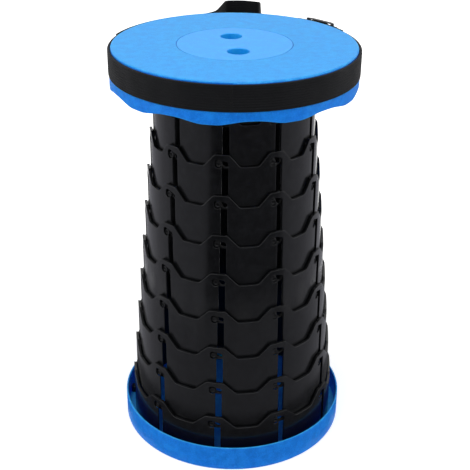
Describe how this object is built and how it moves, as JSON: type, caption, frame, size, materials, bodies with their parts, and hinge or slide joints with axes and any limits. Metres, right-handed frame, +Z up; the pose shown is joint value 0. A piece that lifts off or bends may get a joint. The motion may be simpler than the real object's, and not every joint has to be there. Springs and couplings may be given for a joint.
{
  "type": "telescopic stool",
  "caption": "Round seat and tray joined by nested slotted rings that slide into one another, so that the stool folds down flat; a webbing strap runs round the seat.",
  "frame": {"origin": "centre of the tray's underside, on the floor", "axes": "+Z up along the rings' common axis, -Y towards the front of the pictured view, +Y towards the strap's carrying loop"},
  "size_m": [0.256, 0.3167, 0.44],
  "materials": {
    "seat_blue": "satin moulded polypropylene",
    "ring_black": "satin moulded nylon, fine grain",
    "screw_steel": "zinc-plated steel",
    "foot_rubber": "matt rubber",
    "webbing_black": "woven polyester webbing",
    "slider_black": "moulded acetal"
  },
  "bodies": {
    "base": {"base_tray": "seat_blue", "ring_10": "ring_black", "base_screws": "screw_steel", "base_feet": "foot_rubber"},
    "ring_09": {"ring_09": "ring_black"},
    "ring_08": {"ring_08": "ring_black"},
    "ring_07": {"ring_07": "ring_black"},
    "ring_06": {"ring_06": "ring_black"},
    "ring_05": {"ring_05": "ring_black"},
    "ring_04": {"ring_04": "ring_black"},
    "ring_03": {"ring_03": "ring_black"},
    "ring_02": {"ring_02": "ring_black"},
    "seat": {"seat_top": "seat_blue", "seat_cap": "seat_blue", "seat_screws": "screw_steel", "ring_01": "ring_black", "strap_belt": "webbing_black", "strap_handle": "webbing_black", "strap_slider": "slider_black", "strap_tail": "webbing_black"}
  },
  "joints": [
    {"name": "ring_09_slide", "type": "slide", "parent": "base", "child": "ring_09", "axis": [0, 0, 1], "range_m": [-0.0419, 0]},
    {"name": "ring_08_slide", "type": "slide", "parent": "ring_09", "child": "ring_08", "axis": [0, 0, 1], "range_m": [-0.0419, 0]},
    {"name": "ring_07_slide", "type": "slide", "parent": "ring_08", "child": "ring_07", "axis": [0, 0, 1], "range_m": [-0.0419, 0]},
    {"name": "ring_06_slide", "type": "slide", "parent": "ring_07", "child": "ring_06", "axis": [0, 0, 1], "range_m": [-0.0419, 0]},
    {"name": "ring_05_slide", "type": "slide", "parent": "ring_06", "child": "ring_05", "axis": [0, 0, 1], "range_m": [-0.0419, 0]},
    {"name": "ring_04_slide", "type": "slide", "parent": "ring_05", "child": "ring_04", "axis": [0, 0, 1], "range_m": [-0.0419, 0]},
    {"name": "ring_03_slide", "type": "slide", "parent": "ring_04", "child": "ring_03", "axis": [0, 0, 1], "range_m": [-0.0419, 0]},
    {"name": "ring_02_slide", "type": "slide", "parent": "ring_03", "child": "ring_02", "axis": [0, 0, 1], "range_m": [-0.0419, 0]},
    {"name": "seat_slide", "type": "slide", "parent": "ring_02", "child": "seat", "axis": [0, 0, 1], "range_m": [-0.0354, 0]}
  ]
}
